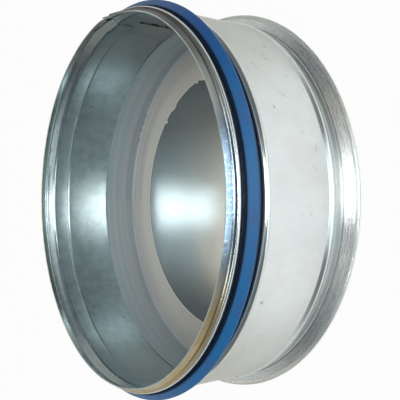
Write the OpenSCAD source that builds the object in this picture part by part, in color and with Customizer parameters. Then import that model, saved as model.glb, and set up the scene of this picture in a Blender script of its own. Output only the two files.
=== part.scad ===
// Duct end cap: a collar rolled from sheet metal, a spun lid nested in the collar's back end,
// and a rubber lip seal that sits in the collar's groove. The closed end lies at z = 0 and the
// mouth points up. The collar's lap seam is on the +Y side.

/* [Duct] */
// Inner diameter of the duct that the collar slides into
duct_d = 200; // [140:1:400]
// Difference in diameter between the duct and the collar
duct_slip = 0.8; // [0.2:0.1:2]
// Length of the collar from its mouth to the crease of its stop flange
insertion = 64.8; // [56:0.1:140]

/* [Sheet] */
// Thickness of the collar's sheet
sheet = 0.7; // [0.5:0.05:0.8]
// Inside radius of the rolled bends
bend = 0.5; // [0.3:0.05:0.7]

/* [Lead-in and front ridge] */
// How far the mouth edge lies inside the collar's outer face
mouth_drop = 3.2; // [2.4:0.1:4]
// Length of the gently flared strip behind the mouth edge
lead_in_l = 3; // [2:0.1:3.2]
// Growth in radius along that strip
lead_in_rise = 0.7; // [0.2:0.1:1]
// Distance from the mouth edge to the ridge's peak
ridge_back = 4; // [3.9:0.1:4.6]
// Height of the ridge's unrounded peak over the collar's outer face
ridge_peak = 0.15; // [0:0.05:0.6]

/* [Seal groove] */
// Distance from the mouth edge to the front corner of the seal's seat
seat_back = 8.7; // [8:0.1:10]
// Width of the seat
seat_w = 9; // [8.5:0.1:12]
// Depth of the seat under the collar's outer face
seat_drop = 3.2; // [2.8:0.1:4]
// Length over which the wall behind the seat steps up to the bead
step_run = 0.4; // [0.2:0.1:1]
// Height of the bead's unrounded peak over the collar's outer face
bead_peak = 1.3; // [1:0.05:1.6]
// Length of the bead's back slope
bead_run = 2.4; // [2.2:0.1:3]

/* [Stiffening rib] */
// Height of the rib's middle over the closed end
rib_z = 12.7; // [10:0.1:16]
// Width of the rib at its foot
rib_w = 4.2; // [4:0.1:5]
// Height of the rib's unrounded peak over the collar's outer face
rib_peak = 1.4; // [1:0.05:1.7]

/* [Stop flange] */
// Height of the flange's crease over the closed end
crease_z = 5.2; // [4.4:0.1:7]
// Reach of the flange beyond the collar's outer face
flange_reach = 6; // [5:0.1:8]
// Width of the hem folded at the flange's edge
hem_w = 2; // [1.7:0.1:2.4]
// Thickness of that hem
hem_h = 1.6; // [1.4:0.1:2]

/* [Lid] */
// Thickness of the lid's sheet
lid_sheet = 0.7; // [0.5:0.05:0.9]
// Height of the lid's wall over the closed end
lid_h = 21.8; // [18:0.1:30]
// Radial gap between the lid's wall and the collar
lid_fit = 0.2; // [0.1:0.05:0.4]
// Inside radius of the corner between the lid's wall and floor
lid_bend = 1.3; // [0.8:0.1:3]
// Diameter of the lid's middle, which the spinning tool's follower covers
middle_d = 150.4; // [60:0.1:160]
// How much thinner the spun metal is than the covered middle
spun_thinning = 0.15; // [0.05:0.05:0.3]

/* [Seal] */
// Gap between the rubber and the metal round it
seal_fit = 0.15; // [0.1:0.05:0.3]
// Thickness of the band that lies on the seat
band_t = 1; // [0.8:0.1:1.4]
// Reach of the lip's crown beyond the collar's outer face
lip_reach = 3.6; // [3:0.1:4.5]
// Distance from the mouth edge to the lip's crown
lip_back = 10.3; // [10:0.1:12]
// Distance from the mouth edge to the lip's front edge
lip_front = 7.2; // [6.8:0.1:7.4]
// Height of the lip's front edge over the collar's outer face
lip_front_rise = 0.5; // [0.2:0.1:1]
// How far behind the seat's front corner the band starts, which leaves a pocket in front of the lip
pocket = 0.5; // [0.4:0.1:1]
// Radial depth of the thick edge at the crown
crown_t = 1; // [0.6:0.1:1.4]
// How far behind the crown the lip leaves the band
lip_root = 3.4; // [3:0.1:3.8]
// Height of the rear wiper over the seat
wiper_h = 2.6; // [2:0.1:3.2]
// How far the wiper leans forward over its height
wiper_lean = 1.2; // [0.6:0.1:1.4]
// Width of the wiper's tip
wiper_w = 0.8; // [0.6:0.1:1.2]

/* [Lap seam] */
// Direction of the inner layer's end, counted round the axis from +X
lap_angle = 95; // [85:1:120]
// Length round the collar over which the two layers lie full on each other
lap_w = 10; // [6:0.5:16]
// How far behind the mouth edge the inner layer starts
lap_set_back = 0.8; // [0.4:0.1:1.6]
// How far above the lid's wall the inner layer ends
lap_lid_gap = 0.8; // [0.4:0.1:2]
// Length of the outer layer's corner that stands proud at the mouth
proud_l = 15; // [10:0.5:20]
// Angle at which that corner, which springs straight, stands off the collar
proud_lift = 4; // [2:0.5:6]
// Direction of that corner's free end
proud_angle = 95.8; // [92:0.2:100]

/* [Hidden] */
$fn = 180;

// Widest turn between two neighbouring points of a rounded corner
arc_step = 18;

// Main levels and radii
collar_r = (duct_d - duct_slip) / 2;
mouth_z = crease_z + insertion;
mouth_r = collar_r - mouth_drop;
seat_r = collar_r - seat_drop;
seat_front_z = mouth_z - seat_back;
seat_back_z = seat_front_z - seat_w;
ridge_r = collar_r + ridge_peak;
ridge_z = mouth_z - ridge_back;
bead_z = seat_back_z - step_run;
flange_r = collar_r + flange_reach;
hem_in_r = flange_r - hem_w;
lid_r = collar_r - sheet - lid_fit;

// The collar's outer face, from the mouth edge down to the flange's hem
outer_face = [
    [mouth_r, mouth_z],
    [mouth_r + lead_in_rise, mouth_z - lead_in_l],
    [ridge_r, ridge_z],
    [seat_r, seat_front_z],
    [seat_r, seat_back_z],
    [collar_r + bead_peak, bead_z],
    [collar_r, bead_z - bead_run],
    [collar_r, rib_z + rib_w / 2],
    [collar_r + rib_peak, rib_z],
    [collar_r, rib_z - rib_w / 2],
    [collar_r, crease_z],
    [hem_in_r, hem_h]
];

function unit(v) = v / norm(v);
function turn_of(a, b) = atan2(a[0] * b[1] - a[1] * b[0], a * b);
function reversed(list) = [for (i = [len(list) - 1 : -1 : 0]) list[i]];

// Points of the arc that rounds the corner at p between its neighbours a and b
function corner_arc(a, p, b, radius) =
    let (
        u = unit(a - p),
        v = unit(b - p),
        half = acos(u * v) / 2,
        centre = p + unit(u + v) * radius / sin(half),
        reach = radius / tan(half),
        first = p + u * reach - centre,
        turn = turn_of(first, p + v * reach - centre),
        start = atan2(first[1], first[0]),
        steps = ceil(abs(turn) / arc_step)
    )
    [for (k = [0 : steps]) centre + radius * [cos(start + turn * k / steps), sin(start + turn * k / steps)]];

// A bent sheet's outer face: outward bends turn round the inside radius plus the sheet
function bent_face(path, ease = 0) =
    let (last = len(path) - 1)
    [
        path[0],
        for (i = [1 : last - 1])
            let (outward = turn_of(path[i] - path[i - 1], path[i + 1] - path[i]) < 0)
            each corner_arc(path[i - 1], path[i], path[i + 1], outward ? bend + sheet + ease : bend),
        path[last]
    ];

// A closed outline of [r, z, rounding] entries
function rounded_loop(path) =
    let (n = len(path))
    [
        for (i = [0 : n - 1])
            let (
                a = path[(i + n - 1) % n],
                p = path[i],
                b = path[(i + 1) % n]
            )
            each p[2] == 0
                ? [[p[0], p[1]]]
                : corner_arc([a[0], a[1]], [p[0], p[1]], [b[0], b[1]], p[2])
    ];

// The same face, moved into the sheet by a depth
function inward(p, q) = unit([q[1] - p[1], p[0] - q[0]]);
function sunk(face, depth) =
    let (last = len(face) - 1)
    [
        for (i = [0 : last])
            let (
                a = inward(face[max(i - 1, 0)], face[max(i, 1)]),
                b = inward(face[min(i, last - 1)], face[min(i + 1, last)])
            )
            face[i] + (a + b) * depth / (1 + a * b)
    ];

// The hem's rounded nose
hem_nose = [
    for (k = [0 : 10])
        [flange_r - hem_h / 2 + hem_h / 2 * sin(18 * k), hem_h / 2 + hem_h / 2 * cos(18 * k)]
];
// Where the hem's folded-under layer ends, clear of the flange's slope
hem_tuck = [hem_in_r + sheet / 2, 0];

module rolled_sheet() {
    face = bent_face(outer_face);
    rotate_extrude()
        polygon(concat(face, hem_nose, [hem_tuck], reversed(sunk(face, sheet))));
}

// The lap's inner layer follows the collar's section one sheet further in. It is let a little
// into the outer layer, and it feathers out on the side away from its free end.
lap_end_z = lid_h + lap_lid_gap;
lap_path = concat(
    [outer_face[0] + (outer_face[1] - outer_face[0]) * lap_set_back / lead_in_l],
    [for (i = [1 : 6]) outer_face[i]],
    [[collar_r, lap_end_z]]
);
lap_full = lap_w / collar_r * 180 / PI;
// Angle over which the layer's outline runs on, long enough to feather out
lap_feather = 7.2;
feather_start = 0.05;
// Sizes of the cutting block, deeper than the layer and twice as long as the feathered stretch
feather_depth = 4;
feather_l = 2 * lap_feather / 180 * PI * collar_r;

// Cuts the layer flat beyond its full width, from the inner layer's face at radius r
module feather(r, low, high) {
    rotate([0, 0, lap_angle + lap_full])
        translate([r - feather_depth, 0, low])
            cube([feather_depth + feather_start, feather_l, high - low]);
}

// Share of the outer layer's thickness at which the let-in layer starts
lap_let_in = 0.2;
// Extra bend radius that keeps a second sheet inside a bend from pinching
lap_ease = sheet - bend + 0.05;

module lap_layer() {
    face = bent_face(lap_path, lap_ease);
    difference() {
        rotate([0, 0, lap_angle])
            rotate_extrude(angle = lap_full + lap_feather)
                polygon(concat(sunk(face, sheet * lap_let_in), reversed(sunk(face, sheet * 2))));
        feather(collar_r - 2 * sheet, lap_end_z - 1, bead_z - bead_run);
        feather(seat_r - 2 * sheet, seat_back_z, mouth_z + 1);
    }
}

// The outer layer's corner at the mouth stands proud of the layer below it. It reaches from the
// mouth edge over the ridge and a share of the way down to the seat.
proud_share = 0.3;
proud_path = [
    outer_face[0],
    outer_face[1],
    outer_face[2],
    outer_face[2] + (outer_face[3] - outer_face[2]) * proud_share
];
proud_root = proud_angle - proud_l / collar_r * 180 / PI;

module proud_corner() {
    face = bent_face(proud_path);
    rotate([0, 0, proud_root])
        translate([seat_r, 0, 0])
            rotate([90, 0, -proud_lift])
                translate([-seat_r, 0, -proud_l])
                    linear_extrude(proud_l)
                        polygon(concat(face, reversed(sunk(face, sheet))));
}

module collar() {
    color("silver")
        union() {
            rolled_sheet();
            lap_layer();
            proud_corner();
        }
}

// A pan with its open side towards the mouth. Its floor's middle keeps the full thickness.
module end_lid() {
    inner_r = lid_r - lid_sheet;
    floor_z = lid_sheet;
    middle_r = middle_d / 2;
    color("gainsboro")
        rotate_extrude()
            polygon(rounded_loop([
                [0, 0, 0],
                [lid_r, 0, lid_bend + lid_sheet],
                [lid_r, lid_h, 0],
                [inner_r, lid_h, 0],
                [inner_r, floor_z, lid_bend],
                [middle_r + spun_thinning, floor_z, 0],
                [middle_r, floor_z + spun_thinning, 0],
                [0, floor_z + spun_thinning, 0]
            ]));
}

// Slant of the band's back edge and of the wiper's tip
heel_slant = 0.6;
tip_slant = 0.2;
// Where the lip's underside bends, inside the crown and behind it
under_in = 1.2;
under_back = 0.6;

// The seal: a band on the seat, a high lip that leans back, and a low wiper behind it
module seal_ring() {
    band_in = seat_r + seal_fit;
    band_out = band_in + band_t;
    front_z = seat_front_z - pocket;
    back_z = seat_back_z + 2 * seal_fit;
    heel_z = back_z + heel_slant;
    wiper_r = seat_r + wiper_h;
    edge = [collar_r + lip_front_rise, mouth_z - lip_front];
    crown = [collar_r + lip_reach, mouth_z - lip_back];
    color([0.13, 0.38, 0.62])
        rotate_extrude()
            polygon(rounded_loop([
                [band_in, back_z, 0],
                [band_out, heel_z, 0.3],
                [wiper_r, heel_z + wiper_lean, 0.3],
                [wiper_r - tip_slant, heel_z + wiper_lean + wiper_w, 0.3],
                [band_out, crown[1] - lip_root, 0.8],
                [crown[0] - crown_t - under_in, crown[1] - crown_t - under_back, 1],
                [crown[0] - 0.1, crown[1] - crown_t, 0.45],
                [crown[0], crown[1], 0.5],
                [edge[0], edge[1], 0.35],
                [band_out, front_z, 0.3],
                [band_in, front_z, 0]
            ]));
}

collar();
end_lid();
seal_ring();
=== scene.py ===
import math

import bpy
from mathutils import Matrix, Vector


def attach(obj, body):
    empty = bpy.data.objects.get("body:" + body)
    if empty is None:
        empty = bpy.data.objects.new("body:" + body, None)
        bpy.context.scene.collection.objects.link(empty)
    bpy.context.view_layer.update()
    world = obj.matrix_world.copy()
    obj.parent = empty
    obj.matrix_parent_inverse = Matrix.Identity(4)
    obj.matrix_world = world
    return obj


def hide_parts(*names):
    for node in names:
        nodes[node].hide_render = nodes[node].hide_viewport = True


mm = 0.001

view = {
    "place": (287.6 * mm, 0, 222.9 * mm),
    "tilt": 53.9,  # degrees between the cap's axis and the line of sight
    "lens": 55.6,
    "sensor": 36,
}

# Softboxes as the cap sees them: up, elevation above the floor; round, degrees from +X; wide and
# high, the angles that they fill
softboxes = {
    "key": {"up": 35, "round": 5.5, "wide": 25, "high": 9, "glow": 11.5, "tint": (1.0, 0.97, 0.96)},
    "upperSide": {"up": 48, "round": 56, "wide": 52, "high": 11, "glow": 0.68, "tint": (1.0, 0.98, 0.93)},
    "lowerSide": {"up": 46, "round": -58, "wide": 60, "high": 11, "glow": 0.66, "tint": (0.94, 1.0, 1.0)},
    "overhead": {"up": 67, "round": 12, "wide": 24, "high": 15, "glow": 6.8, "tint": (0.93, 0.98, 1.0)},
    "wingLeft": {"up": 63.5, "round": 64, "wide": 24, "high": 7, "glow": 3.6, "tint": (1.0, 1.0, 0.92)},
    "wingRight": {"up": 63.5, "round": -68, "wide": 24, "high": 7, "glow": 5.2, "tint": (1.0, 1.0, 0.90)},
    "behind": {"up": 55, "round": 193, "wide": 22, "high": 25, "glow": 1.9, "tint": (1.0, 0.78, 0.55)},
    "window": {"up": 6.5, "round": 3, "wide": 60, "high": 12, "glow": 3.6, "tint": (0.84, 0.95, 1.0)},
}
softboxDistance = 3.0

room = {
    "front": (0.13, 0.14, 0.15),
    "behind": (0.50, 0.49, 0.46),
    "zenith": (0.02, 0.02, 0.02),
    "backdropTop": 0.08,  # the sine of the height where the white backdrop ends for metal
}

floorLook = {
    "reach": 30.0,
    "colour": (0.80, 0.80, 0.79, 1),
    "ownGlow": 0.95,  # share that stays white whatever falls on it
    "poolCentre": 0.12,  # the brightest part, as metal sees it, lies in front of the cap
    "poolLong": 0.30,
    "poolWide": 0.118,
    "farGlow": 0.10,
    "shadeFrom": 0.106,  # metal also sees the cap's own shade close round it
    "shadeTo": 0.122,
}


class Wire:
    # An output socket, so that shader maths reads as plain Python
    def __init__(self, paint, socket):
        self.paint = paint
        self.socket = socket

    def maths(self, operation, *others):
        inputs = {i: v for i, v in enumerate((self, *others))}
        return self.paint.node("Math", {"operation": operation}, inputs)

    def __add__(self, other):
        return self.maths("ADD", other)

    def __radd__(self, other):
        return self.maths("ADD", other)

    def __sub__(self, other):
        return self.maths("SUBTRACT", other)

    def __rsub__(self, other):
        return self.paint.node("Math", {"operation": "SUBTRACT"}, {0: other, 1: self})

    def __mul__(self, other):
        return self.maths("MULTIPLY", other)

    def __rmul__(self, other):
        return self.maths("MULTIPLY", other)

    def __truediv__(self, other):
        return self.maths("DIVIDE", other)

    def __pow__(self, other):
        return self.maths("POWER", other)

    def __gt__(self, other):
        return self.maths("GREATER_THAN", other)

    def __lt__(self, other):
        return self.maths("LESS_THAN", other)

    def ramped(self, low, high):
        # 0 below low, 1 above high and smooth between them; low may be the greater one
        settings = {"interpolation_type": "SMOOTHSTEP"}
        inputs = {"Value": self, "From Min": low, "From Max": high}
        return self.paint.node("MapRange", settings, inputs)


class Paint:
    # The nodes of one material or world, with a single way to add any node
    def __init__(self, owner, shader="Principled BSDF"):
        owner.use_nodes = True
        self.owner = owner
        self.tree = owner.node_tree
        self.body = self.tree.nodes[shader]

    def plug(self, socket, value):
        if isinstance(value, Wire):
            self.tree.links.new(value.socket, socket)
        else:
            socket.default_value = value

    def node(self, kind, settings=None, inputs=None, output=0):
        made = self.tree.nodes.new("ShaderNode" + kind)
        for key, value in (settings or {}).items():
            if key == "stops":
                fillRamp(made.color_ramp, value)
            else:
                setattr(made, key, value)
        for key, value in (inputs or {}).items():
            self.plug(made.inputs[key], value)
        return Wire(self, made.outputs[output])

    def mix(self, factor, first, second, blend="MIX"):
        settings = {"data_type": "RGBA", "blend_type": blend}
        return self.node("Mix", settings, {0: factor, 6: first, 7: second}, 2)

    def vector(self, x, y, z):
        return self.node("CombineXYZ", None, {0: x, 1: y, 2: z})

    def noise(self, point, scale, detail=2, rough=0.5):
        inputs = {"Vector": point, "Scale": scale, "Detail": detail, "Roughness": rough}
        return self.node("TexNoise", None, inputs, "Fac")

    def spots(self, point, scale, output="Distance"):
        return self.node("TexVoronoi", None, {"Vector": point, "Scale": scale}, output)

    def ramp(self, value, stops):
        return self.node("ValToRGB", {"stops": stops}, {"Fac": value})

    def bump(self, height, distance, strength=1.0, below=None):
        inputs = {"Height": height, "Distance": distance, "Strength": strength}
        if below is not None:
            inputs["Normal"] = below
        return self.node("Bump", None, inputs)

    def finish(self, **sockets):
        for name, value in sockets.items():
            self.plug(self.body.inputs[name.replace("_", " ")], value)
        return self.owner


def fillRamp(ramp, stops):
    while len(ramp.elements) < len(stops):
        ramp.elements.new(0.5)
    for element, (place, colour) in zip(ramp.elements, stops):
        element.position = place
        element.color = colour


def grey(level):
    return (level, level, level, 1)


def newPaint(name):
    return Paint(bpy.data.materials.new(name))


def roundTheAxis(paint):
    # Object point, radius and height in millimetres, and the angle in degrees from +X
    place = paint.node("TexCoord", None, None, "Object")
    x = paint.node("SeparateXYZ", None, {0: place}, "X")
    y = paint.node("SeparateXYZ", None, {0: place}, "Y")
    z = paint.node("SeparateXYZ", None, {0: place}, "Z")
    radius = (x * x + y * y).maths("SQRT") * 1000
    angle = y.maths("ARCTAN2", x) * (180 / math.pi)
    return place, radius, angle, z * 1000


def facingOut(paint, place):
    # 1 on faces that look away from the axis, 0 on the collar's inside
    normal = paint.node("NewGeometry", None, None, "Normal")
    flat = paint.node("VectorMath", {"operation": "MULTIPLY"}, {0: place, 1: (1, 1, 0)})
    return paint.node("VectorMath", {"operation": "DOT_PRODUCT"}, {0: normal, 1: flat}, "Value") > 0


def near(value, middle, reach):
    # 1 at the middle, falling smoothly to 0 at the reach on both sides
    return (value - middle).maths("ABSOLUTE").ramped(reach, 0)


zincLook = {
    "pale": (0.82, 0.87, 0.86, 1),
    "deep": (0.74, 0.79, 0.79, 1),
    "inside": (0.80, 0.93, 0.97, 1),
    "flangeHighlight": (0.95, 0.95, 0.93, 1),
    "litTint": (0.76, 0.92, 0.99, 1),
    "bluishReflection": (0.35, 0.48, 0.62, 1),
    "gold": (0.58, 0.46, 0.24, 1),
    "stripShadeGrey": (0.42, 0.45, 0.42, 1),
    "cream": (0.84, 0.72, 0.50, 1),
    "hazeAndShade": (0.62, 0.61, 0.55, 1),
    "speckAndShade": (0.16, 0.17, 0.17, 1),
    "stripShadeDark": (0.08, 0.08, 0.085, 1),
    "dusk": (0.36, 0.43, 0.45, 1),
    "shine": 0.15,
    "dull": 0.30,
}


def collarZinc():
    paint = newPaint("collarZinc")
    place, radius, angle, height = roundTheAxis(paint)
    outer = facingOut(paint, place)
    cloud = paint.noise(place, 42, 5, 0.62)
    fine = paint.noise(place, 900, 3, 0.6)
    # Rolling left faint lines round the collar, and stronger ones on the folded flange
    rolled = paint.noise(paint.vector(angle * 0.07, height * 2.6, radius * 2.6), 1, 5, 0.7)
    base = paint.mix(cloud.ramped(0.32, 0.68) * 0.7 + fine * 0.3, zincLook["deep"], zincLook["pale"])
    base = paint.mix((1 - outer) * 0.75, base, zincLook["inside"], "MULTIPLY")
    # The strip at the mouth and the flange took on a warm tint where they were handled; the strip also carries a
    # painted bluish reflection and painted shade that depend on the angle round the axis
    strip = outer * (height > 66.4)
    patchy = cloud.ramped(0.3, 0.6) * 0.3 + 0.7
    # Painted reflection: a bluish speckled glint on the strip where it faces the front
    base = paint.mix(near(angle, 1, 30).ramped(0.0, 0.5) * strip * fine.ramped(0.15, 0.55), base, zincLook["bluishReflection"])
    # Painted shade: the strip greys and darkens towards its upper side
    tintAndShade = angle.ramped(14, 34) * angle.ramped(175, 120)
    base = paint.mix(tintAndShade * strip * patchy, base, zincLook["stripShadeGrey"])
    tintAndShade = (angle.ramped(30, 44) * 0.65 + angle.ramped(44, 56) * 0.3) * angle.ramped(175, 120)
    base = paint.mix(tintAndShade * strip, base, zincLook["stripShadeDark"])
    tintAndShade = angle.ramped(-8, -32) * angle.ramped(-175, -120)
    base = paint.mix(tintAndShade * strip * patchy, base, zincLook["gold"])
    # Painted shade: the strip is a little darker near -30°
    base = paint.mix(near(angle, -30, 14) * strip * 0.3, base, zincLook["speckAndShade"])
    # The cylinder is clouded at random, and painted shade greys it more towards the sides
    plain = outer * height.ramped(14, 16) * height.ramped(50, 49)
    hazeAndShade = paint.noise(place, 26, 6, 0.68).ramped(0.40, 0.66)
    base = paint.mix(hazeAndShade * plain * 0.28, base, zincLook["hazeAndShade"])
    # Painted shade: greyer the further the cylinder turns from the front
    base = paint.mix(angle.maths("ABSOLUTE").ramped(22, 62) * plain * 0.55, base, zincLook["hazeAndShade"])
    base = paint.mix(near(angle, 28, 16) * (height < 5.6) * patchy * 0.6, base, zincLook["cream"])
    # Painted shade darkens the inside wall round +90° and -90° from +X, to both sides of the seam, and near 128° at
    # the mouth
    turnAway = angle.maths("ABSOLUTE")
    above = angle.ramped(72, 88) * angle.ramped(134, 116)
    below = angle.ramped(-72, -88) * angle.ramped(-128, -110)
    base = paint.mix((above * 0.7 + below * 0.4) * (1 - outer), base, zincLook["speckAndShade"])
    aside = near(angle, 128, 26) * (1 - outer) * (height > 60)
    base = paint.mix(aside * 0.45, base, zincLook["speckAndShade"])
    # Painted light: the inside wall is brighter and bluer near -150°
    litPatch = near(angle, -150, 38) * (1 - outer) * (height < 62)
    base = paint.mix(litPatch * 0.8, base, zincLook["litTint"])
    # Crystals of the zinc, and fine scratches that run from the mouth to the lid
    crystals = paint.spots(place, 240, "Color")
    scratch = paint.noise(paint.vector(angle * 1.6, height * 0.05, radius * 0.2), 1, 5, 0.7)
    mottle = paint.node("SeparateXYZ", None, {0: crystals}, "X") * 0.5 + scratch * 0.5
    base = paint.mix((1 - outer) * mottle.ramped(0.35, 0.70) * 0.26, base, zincLook["dusk"])
    # Handling marks: small dark specks and soft grey smudges
    speckAndShade = paint.spots(place, 75).ramped(0.10, 0.03) * paint.noise(place, 60).ramped(0.50, 0.56)
    smudge = paint.noise(place, 110, 4, 0.7).ramped(0.60, 0.74)
    base = paint.mix(speckAndShade * 0.55, base, zincLook["speckAndShade"])
    base = paint.mix(smudge * 0.18, base, zincLook["speckAndShade"])
    # The bends near the mouth are burnished, the plain walls are dull
    bends = near(height, 61.6, 2.2).maths("MAXIMUM", near(height, 51.2, 2.6))
    bends = bends.maths("MAXIMUM", height.ramped(63, 65) * (1 - outer * 0.5))
    bends = bends.maths("MAXIMUM", outer * height.ramped(16.5, 15.5) * 0.8)
    flange = outer * height.ramped(5.6, 4.6)
    streak = rolled.ramped(0.42, 0.62)
    # Painted highlight: the flange is lighter towards the front, where it faces +X
    base = paint.mix(flange * turnAway.ramped(66, 44) * 0.7, base, zincLook["flangeHighlight"])
    base = paint.mix(flange * streak * 0.28, base, zincLook["dusk"])
    rough = zincLook["dull"] - bends * (zincLook["dull"] - zincLook["shine"]) + fine * 0.04 + smudge * 0.06
    rough = rough + flange * streak * 0.12
    # Painted shade: dark hairlines in the flange crease and at the rib's feet, and a darker valley between rib and
    # flange
    crease = near(height, 5.1, 0.45).maths("MAXIMUM", near(height, 10.5, 0.4) * 0.8)
    crease = crease.maths("MAXIMUM", near(height, 14.9, 0.35) * 0.6)
    valley = near(height, 7.8, 2.8) * 0.6
    base = paint.mix(valley * outer, base, zincLook["dusk"])
    valley = near(height, 7.6, 2.7) * angle.ramped(6, 30) * angle.ramped(150, 110)
    base = paint.mix(valley * outer * 0.55, base, zincLook["speckAndShade"])
    base = paint.mix(crease * outer * 0.75, base, zincLook["speckAndShade"])
    bump = paint.bump(rolled * flange, 0.00012, 1.0)
    return paint.finish(Base_Color=base, Metallic=1.0, Roughness=rough, Normal=bump)


def weldScale():
    paint = newPaint("weldScale")
    place = paint.node("TexCoord", None, None, "Object")
    crust = paint.noise(place, 1500, 4, 0.7)
    base = paint.mix(crust.ramped(0.4, 0.62), (0.03, 0.033, 0.03, 1), (0.20, 0.20, 0.17, 1))
    bump = paint.bump(crust, 0.0002, 0.8)
    return paint.finish(Base_Color=base, Metallic=0.6, Roughness=0.5 + crust * 0.2, Normal=bump)


spunLook = {
    "middle": 75.2,  # radius of the covered middle, in millimetres
    "wallFoot": 96.6,
    "shiny": (0.70, 0.74, 0.74, 1),
    "shade": (0.29, 0.27, 0.26, 1),
    "beige": (0.65, 0.62, 0.57, 1),
    "blueGrey": (0.41, 0.505, 0.55, 1),
    "line": (0.30, 0.31, 0.34, 1),
    "burr": (0.80, 0.80, 0.72, 1),
}


def lidZinc():
    paint = newPaint("lidZinc")
    place, radius, angle, height = roundTheAxis(paint)
    cloud = paint.noise(place, 36, 4, 0.6)
    # The way along the section, from the centre over the corner and up the wall
    along = radius + (height - 1).maths("MAXIMUM", 0)
    # A ragged border: slow waves, fine teeth and two torn places
    wave = paint.noise(paint.vector(angle * 0.03, 3.1, 0), 1, 1) * 2.4 - 1.2
    teeth = paint.noise(paint.vector(angle * 1.6, 7.7, 0), 1, 5, 0.75) * 3.0 - 1.5
    torn = near(angle, 100.5, 3.5) * 1.6 + near(angle, 105.5, 1.2) * 1.4
    torn = torn + near(angle, 127, 4) * 1.5 + near(angle, 136.5, 1.6) * 1.8
    border = spunLook["middle"] + wave * 0.5 + teeth * (0.5 + (angle > 0) * 0.7) - torn
    past = along - border
    spun = past > 0
    lines = paint.noise(paint.vector(along * 1.9, angle * 0.008, 2), 1, 5, 0.78)
    coarse = paint.noise(paint.vector(along * 0.33, angle * 0.004, 9), 1, 2, 0.5)
    wall = along.ramped(spunLook["wallFoot"] - 3, spunLook["wallFoot"] + 2.5)
    matte = paint.mix(wall, spunLook["beige"], spunLook["blueGrey"])
    groove = lines.ramped(0.60, 0.40) * along.ramped(82, 92) * along.ramped(114, 100)
    matte = paint.mix(groove * 0.8, matte, spunLook["line"])
    matte = paint.mix(coarse.ramped(0.35, 0.65) * 0.35, matte, spunLook["beige"])
    matte = paint.mix(near(past, 0.55, 0.55) * 0.95, matte, spunLook["burr"])
    shiny = paint.mix(cloud.ramped(0.3, 0.7) * 0.25, spunLook["shiny"], zincLook["deep"])
    # Painted shade: the shiny middle darkens towards +Y and -Y
    sideways = paint.node("SeparateXYZ", None, {0: place}, "Y")
    sideShade = sideways.ramped(0.006, 0.055) * 0.75 + sideways.ramped(-0.03, -0.065) * 0.7
    shiny = paint.mix(sideShade, shiny, spunLook["shade"])
    shiny = paint.mix(near(past, -0.6, 0.7) * 0.6, shiny, spunLook["line"])
    base = paint.mix(spun, shiny, matte)
    # Small burnt dots where the lid was pressed home
    dots = near(angle, 143.8, 0.5) + near(angle, 147, 0.6) + near(angle, 150.2, 0.5) + near(angle, 154.6, 0.6)
    base = paint.mix(dots * near(height, 1.8, 1.2) * (radius > 94) * 0.9, base, zincLook["speckAndShade"])
    metal = 1 - spun * 0.8
    fine = paint.noise(place, 900, 2, 0.5)
    rough = 0.25 + fine * 0.02 + spun * (0.33 + lines * 0.12)
    bump = paint.bump(spun * lines, 0.00006, 0.6)
    return paint.finish(Base_Color=base, Metallic=metal, Roughness=rough, Normal=bump)


rubberLook = {
    "blue": (0.008, 0.135, 0.36, 1),
    "violet": (0.04, 0.09, 0.26, 1),
    "shaded": (0.004, 0.055, 0.22, 1),
    "deep": (0.008, 0.018, 0.040, 1),
    "dust": (0.16, 0.20, 0.25, 1),
}


def sealRubber():
    paint = newPaint("sealRubber")
    place, radius, angle, height = roundTheAxis(paint)
    cloud = paint.noise(place, 55, 3, 0.6)
    base = paint.mix(cloud.ramped(0.50, 0.72) * 0.55, rubberLook["blue"], rubberLook["violet"])
    dust = paint.noise(place, 1400, 2, 0.6).ramped(0.66, 0.80)
    base = paint.mix(dust * 0.35, base, rubberLook["dust"])
    shaded = angle.ramped(18, 50) * angle.ramped(170, 120)
    base = paint.mix(shaded * 0.75, base, rubberLook["shaded"])
    # Painted shade darkens the rubber down in the two grooves
    groove = radius.ramped(100.9, 99.6)
    base = paint.mix(groove * 0.9, base, rubberLook["deep"])
    grain = paint.noise(place, 2200, 2, 0.5)
    rough = 0.40 + cloud * 0.12
    bump = paint.bump(grain, 0.00002, 0.4)
    return paint.finish(Base_Color=base, Roughness=rough, Normal=bump)


def hangSoftbox(name, box):
    lamp = bpy.data.lights.new(name, "AREA")
    lamp.shape = "ELLIPSE"
    lamp.size = 2 * softboxDistance * math.tan(math.radians(box["wide"] / 2))
    lamp.size_y = 2 * softboxDistance * math.tan(math.radians(box["high"] / 2))
    lamp.energy = box["glow"] * math.pi * lamp.size * lamp.size_y * math.pi / 4
    lamp.color = box["tint"]
    holder = bpy.data.objects.new(name, lamp)
    bpy.context.scene.collection.objects.link(holder)
    up = math.radians(box["up"])
    around = math.radians(box["round"])
    direction = Vector((math.cos(up) * math.cos(around), math.cos(up) * math.sin(around), math.sin(up)))
    holder.location = direction * softboxDistance
    holder.rotation_euler = direction.to_track_quat("Z", "Y").to_euler()


def lightRoom():
    world = bpy.data.worlds.new("room")
    bpy.context.scene.world = world
    paint = Paint(world, "Background")
    way = paint.node("TexCoord", None, None, "Generated")
    ahead = paint.node("SeparateXYZ", None, {0: way}, "X")
    up = paint.node("SeparateXYZ", None, {0: way}, "Z")
    walls = paint.mix(ahead.ramped(-0.45, -0.05), (*room["behind"], 1), (*room["front"], 1))
    walls = paint.mix(up.ramped(0.90, 0.96), walls, (*room["zenith"], 1))
    # The backdrop is white to the eye, and metal sees it so low down
    seen = paint.node("LightPath", None, None, "Is Camera Ray")
    glossy = paint.node("LightPath", None, None, "Is Glossy Ray")
    through = paint.node("LightPath", None, None, "Is Transmission Ray")
    low = up.ramped(room["backdropTop"], room["backdropTop"] / 2)
    share = (seen + (glossy + through) * low).maths("MINIMUM", 1.0)
    paint.finish(Color=paint.mix(share, walls, grey(1.0)))


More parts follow.
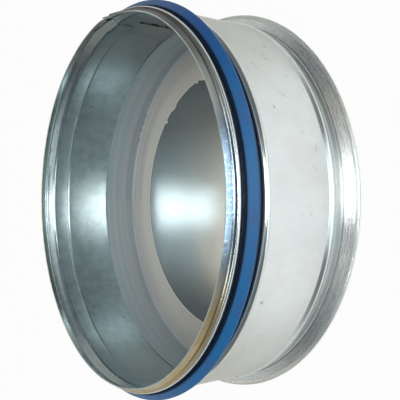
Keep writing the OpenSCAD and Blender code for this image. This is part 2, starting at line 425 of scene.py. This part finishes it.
def layFloor():
    bpy.ops.mesh.primitive_plane_add(size=floorLook["reach"], location=(0, 0, 0))
    floor = bpy.context.object
    floor.name = "floor"
    paint = newPaint("floorPale")
    paint.finish(Base_Color=floorLook["colour"], Roughness=0.9)
    place = paint.node("TexCoord", None, None, "Object")
    long = (paint.node("SeparateXYZ", None, {0: place}, "X") - floorLook["poolCentre"]) / floorLook["poolLong"]
    wide = paint.node("SeparateXYZ", None, {0: place}, "Y") / floorLook["poolWide"]
    away = (long * long + wide * wide).maths("SQRT")
    pool = away.ramped(1.3, 0.5) * (1 - floorLook["farGlow"]) + floorLook["farGlow"]
    radius = paint.node("VectorMath", {"operation": "LENGTH"}, {0: place}, "Value")
    pool = pool * (radius.ramped(floorLook["shadeFrom"], floorLook["shadeTo"]) * 0.75 + 0.25)
    seen = paint.node("LightPath", None, None, "Is Camera Ray")
    glossy = paint.node("LightPath", None, None, "Is Glossy Ray")
    through = paint.node("LightPath", None, None, "Is Transmission Ray")
    share = (seen + (glossy + through).maths("MINIMUM", 1.0) * pool).maths("MINIMUM", 1.0)
    glow = paint.node("Emission", None, {"Color": grey(1.0), "Strength": 1.0})
    surface = Wire(paint, paint.body.outputs[0])
    mixed = paint.node("MixShader", None, {0: share * floorLook["ownGlow"], 1: surface, 2: glow})
    output = paint.tree.nodes["Material Output"]
    paint.tree.links.new(mixed.socket, output.inputs["Surface"])
    floor.data.materials.append(paint.owner)


def buildStudio():
    scene = bpy.context.scene
    scene.view_settings.view_transform = "Standard"
    camera = bpy.data.objects.new("camera", bpy.data.cameras.new("camera"))
    scene.collection.objects.link(camera)
    camera.location = view["place"]
    camera.rotation_euler = (0, math.radians(view["tilt"]), 0)
    camera.data.lens = view["lens"]
    camera.data.sensor_width = view["sensor"]
    camera.data.clip_start = 0.01
    scene.camera = camera
    for name, box in softboxes.items():
        hangSoftbox(name, box)
    lightRoom()
    layFloor()


collarShape = {
    "sheet": 0.7,  # all sizes in millimetres
    "around": 384,
    "arcStep": 13,
    # Outer face from the mouth to the hem: radius, height and the radius of the bend there
    "corners": [
        (96.4, 70.0, 0), (97.1, 67.0, 1.4), (99.75, 66.0, 1.2), (96.4, 61.3, 2.8), (96.4, 52.5, 0.6),
        (98.7, 52.8, 1.2), (100.4, 50.7, 1.2), (99.6, 49.5, 0.7), (99.6, 14.8, 0.6), (101.0, 12.7, 1.2),
        (99.6, 10.6, 0.6), (99.6, 5.2, 0.5), (103.6, 1.6, 0),
    ],
    "hemCentre": (104.79, 0.8),
    "hemTuck": (103.95, 0),
    "lean": 0.75,  # how far the mouth's edge has slipped out of round, towards -X
    "leanFrom": 66.4,
    "sprung": 1.0,
    "lapFrom": 95.0,  # degrees from +X to the inner layer's free end
    "lapFull": 5.75,
    "lapFeather": 7.2,
    "lapFoot": 22.6,
    "tongueEnd": 95.8,
    "tongueLong": 14.6,
    "tongueLift": 3.6,
}


def flatPoint(corner):
    return Vector(corner[:2])


def bendPoints(before, corner, after, radius):
    toBefore = (before - corner).normalized()
    toAfter = (after - corner).normalized()
    half = toBefore.angle(toAfter) / 2
    centre = corner + (toBefore + toAfter).normalized() * radius / math.sin(half)
    first = corner + toBefore * radius / math.tan(half) - centre
    last = corner + toAfter * radius / math.tan(half) - centre
    turn = math.atan2(first.x * last.y - first.y * last.x, first.dot(last))
    steps = math.ceil(abs(turn) / math.radians(collarShape["arcStep"]))
    points = []
    for k in range(steps + 1):
        c, s = math.cos(turn * k / steps), math.sin(turn * k / steps)
        points.append(centre + Vector((first.x * c - first.y * s, first.x * s + first.y * c)))
    return points


def bentFace(corners):
    face = [flatPoint(corners[0])]
    for before, corner, after in zip(corners, corners[1:], corners[2:]):
        face += bendPoints(flatPoint(before), flatPoint(corner), flatPoint(after), corner[2])
    face.append(flatPoint(corners[-1]))
    return face


def sunk(face, depth):
    # The face moved into the sheet by a depth
    moved = []
    last = len(face) - 1
    for i, point in enumerate(face):
        a = (face[max(i, 1)] - face[max(i - 1, 0)]).normalized()
        b = (face[min(i + 1, last)] - face[min(i, last - 1)]).normalized()
        inA = Vector((a.y, -a.x))
        inB = Vector((b.y, -b.x))
        moved.append(point + (inA + inB) * depth / (1 + inA.dot(inB)))
    return moved


def layOutline(name, section, place):
    # A ring of vertices, one for each point of the section, laid where place puts the point
    bpy.ops.object.select_all(action="DESELECT")
    bpy.ops.mesh.primitive_circle_add(vertices=len(section), radius=0.01, location=(0, 0, 0))
    piece = bpy.context.object
    piece.name = name
    for vertex, point in zip(piece.data.vertices, section):
        vertex.co = place(point)
    bpy.ops.object.mode_set(mode="EDIT")
    bpy.ops.mesh.select_all(action="SELECT")
    return piece


def closeUp():
    bpy.ops.mesh.select_all(action="SELECT")
    bpy.ops.mesh.remove_doubles(threshold=0.000001)
    bpy.ops.mesh.normals_make_consistent(inside=False)
    bpy.ops.object.mode_set(mode="OBJECT")


def turned(degrees):
    return Vector((math.cos(math.radians(degrees)), math.sin(math.radians(degrees)), 0))


def rollSheet():
    face = bentFace(collarShape["corners"])
    centre = Vector(collarShape["hemCentre"])
    nose = []
    for k in range(11):
        around = math.pi * k / 10
        nose.append(centre + Vector((math.sin(around), math.cos(around))) * centre.y)
    inner = sunk(face, collarShape["sheet"])
    section = face + nose + [Vector(collarShape["hemTuck"])] + inner[::-1]
    piece = layOutline("collarSheet", section, lambda p: Vector((p.x * mm, 0, p.y * mm)))
    bpy.ops.mesh.spin(steps=collarShape["around"], angle=2 * math.pi, center=(0, 0, 0), axis=(0, 0, 1))
    closeUp()
    return piece


def layLap():
    # The inner layer of the lap seam: full at its free end, thinning out on the other side
    corners = collarShape["corners"]
    start = flatPoint(corners[0]).lerp(flatPoint(corners[1]), 0.26)
    # A second sheet inside the outward bends needs a wider turn
    path = [tuple(start)] + [(r, z, 1.5 if bend == 1.2 else bend) for r, z, bend in corners[1:8]]
    face = bentFace(path + [(99.6, collarShape["lapFoot"])])
    outer = sunk(face, collarShape["sheet"] * 0.2)
    inner = sunk(face, collarShape["sheet"] * 2)
    begin = turned(collarShape["lapFrom"])
    piece = layOutline("collarLap", outer + inner[::-1], lambda p: begin * p.x * mm + Vector((0, 0, p.y * mm)))
    bpy.ops.mesh.edge_face_add()
    turn = collarShape["lapFull"] + collarShape["lapFeather"]
    bpy.ops.mesh.spin(steps=26, angle=-math.radians(turn), center=(0, 0, 0), axis=(0, 0, 1))
    closeUp()
    for vertex in piece.data.vertices:
        point = Vector((math.hypot(vertex.co.x, vertex.co.y), vertex.co.z)) / mm
        past = math.degrees(math.atan2(vertex.co.y, vertex.co.x)) - collarShape["lapFrom"]
        share = min(max((past - collarShape["lapFull"]) / collarShape["lapFeather"], 0), 0.98)
        nearest = min(range(len(inner)), key=lambda k: (inner[k] - point).length)
        if share > 0 and (inner[nearest] - point).length < 0.02:
            point = inner[nearest].lerp(outer[nearest], share)
            flat = turned(past + collarShape["lapFrom"])
            vertex.co = flat * point.x * mm + Vector((0, 0, point.y * mm))
    return piece


def raiseTongue():
    # The outer layer's corner at the mouth springs straight
    corners = collarShape["corners"]
    foot = flatPoint(corners[2]).lerp(flatPoint(corners[3]), 0.3)
    face = bentFace(corners[:3] + [tuple(foot)])
    section = face + sunk(face, collarShape["sheet"])[::-1]
    pivot = corners[3][0]
    root = collarShape["tongueEnd"] - math.degrees(collarShape["tongueLong"] / 99.6)
    across = turned(root - collarShape["tongueLift"])
    base = turned(root) * pivot
    piece = layOutline("collarTongue", section, lambda p: (base + across * (p.x - pivot) + Vector((0, 0, p.y))) * mm)
    bpy.ops.mesh.edge_face_add()
    way = turned(root - collarShape["tongueLift"] + 90) * collarShape["tongueLong"] * mm
    bpy.ops.mesh.extrude_region_move(TRANSFORM_OT_translate={"value": way})
    closeUp()
    return piece


def springOut(piece):
    # Beside the seam the sheet springs out a little at the mouth and comes back to round
    for vertex in piece.data.vertices:
        angle = math.degrees(math.atan2(vertex.co.y, vertex.co.x))
        along = min(max((angle - 91) / 6, 0), 1) * min(max((120 - angle) / 20, 0), 1)
        share = min(max(vertex.co.z / mm - 61, 0) / 6, 1) * along * collarShape["sprung"]
        vertex.co += turned(angle) * share * mm


def rollCollar():
    pieces = [rollSheet(), layLap(), raiseTongue()]
    springOut(pieces[0])
    springOut(pieces[1])
    bpy.ops.object.select_all(action="DESELECT")
    for piece in pieces:
        piece.select_set(True)
    bpy.context.view_layer.objects.active = pieces[0]
    bpy.ops.object.join()
    rise = 70 - collarShape["leanFrom"]
    for vertex in pieces[0].data.vertices:
        share = max(vertex.co.z / mm - collarShape["leanFrom"], 0) / rise
        vertex.co.x -= share * collarShape["lean"] * mm
    bpy.ops.object.shade_smooth_by_angle(angle=math.radians(32))
    return pieces[0]


weldMarks = {
    "angle": 94.7,
    "heights": (49.0, 46.6, 40.2, 38.6, 36.8, 30.6, 25.8, 24.2),
    "long": 2.3,
    "wide": 0.9,
    "deep": 0.35,
}


def weldSeam():
    # Small beads of spot weld on the free end of the lap's inner layer
    marks = []
    for i, height in enumerate(weldMarks["heights"]):
        bpy.ops.object.select_all(action="DESELECT")
        bpy.ops.mesh.primitive_uv_sphere_add(segments=16, ring_count=10, radius=0.5 * mm, location=(0, 0, 0))
        mark = bpy.context.object
        bpy.ops.object.mode_set(mode="EDIT")
        bpy.ops.mesh.select_all(action="SELECT")
        stretch = 1 + 0.35 * math.sin(i * 2.3)
        size = (weldMarks["deep"] * 2, weldMarks["wide"], weldMarks["long"] * stretch)
        bpy.ops.transform.resize(value=size)
        bpy.ops.object.mode_set(mode="OBJECT")
        angle = weldMarks["angle"] + 0.25 * math.sin(i * 1.7)
        turn = Matrix.Rotation(math.radians(angle), 4, "Z")
        mark.data.transform(turn @ Matrix.Translation((98.6 * mm, 0, height * mm)))
        marks.append(mark)
    bpy.ops.object.select_all(action="DESELECT")
    for mark in marks:
        mark.select_set(True)
    bpy.context.view_layer.objects.active = marks[0]
    bpy.ops.object.join()
    bpy.ops.object.shade_smooth()
    marks[0].name = "seamWelds"
    return marks[0]


def dress(node, material):
    node.data.materials.clear()
    node.data.materials.append(material)


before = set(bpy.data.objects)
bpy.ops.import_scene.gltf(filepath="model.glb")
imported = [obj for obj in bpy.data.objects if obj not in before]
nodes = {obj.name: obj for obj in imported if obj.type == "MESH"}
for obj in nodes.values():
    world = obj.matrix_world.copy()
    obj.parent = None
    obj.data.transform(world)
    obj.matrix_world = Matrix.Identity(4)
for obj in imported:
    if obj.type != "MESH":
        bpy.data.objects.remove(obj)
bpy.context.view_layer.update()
print("frame loaded", sorted(nodes))
buildStudio()
print("studio ready")
collar = rollCollar()
dress(collar, collarZinc())
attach(collar, "root")
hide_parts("collar")
welds = weldSeam()
dress(welds, weldScale())
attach(welds, "root")
print("collar rolled", len(collar.data.polygons), "faces")
dress(nodes["end_lid"], lidZinc())
dress(nodes["seal_ring"], sealRubber())
print("materials ready")
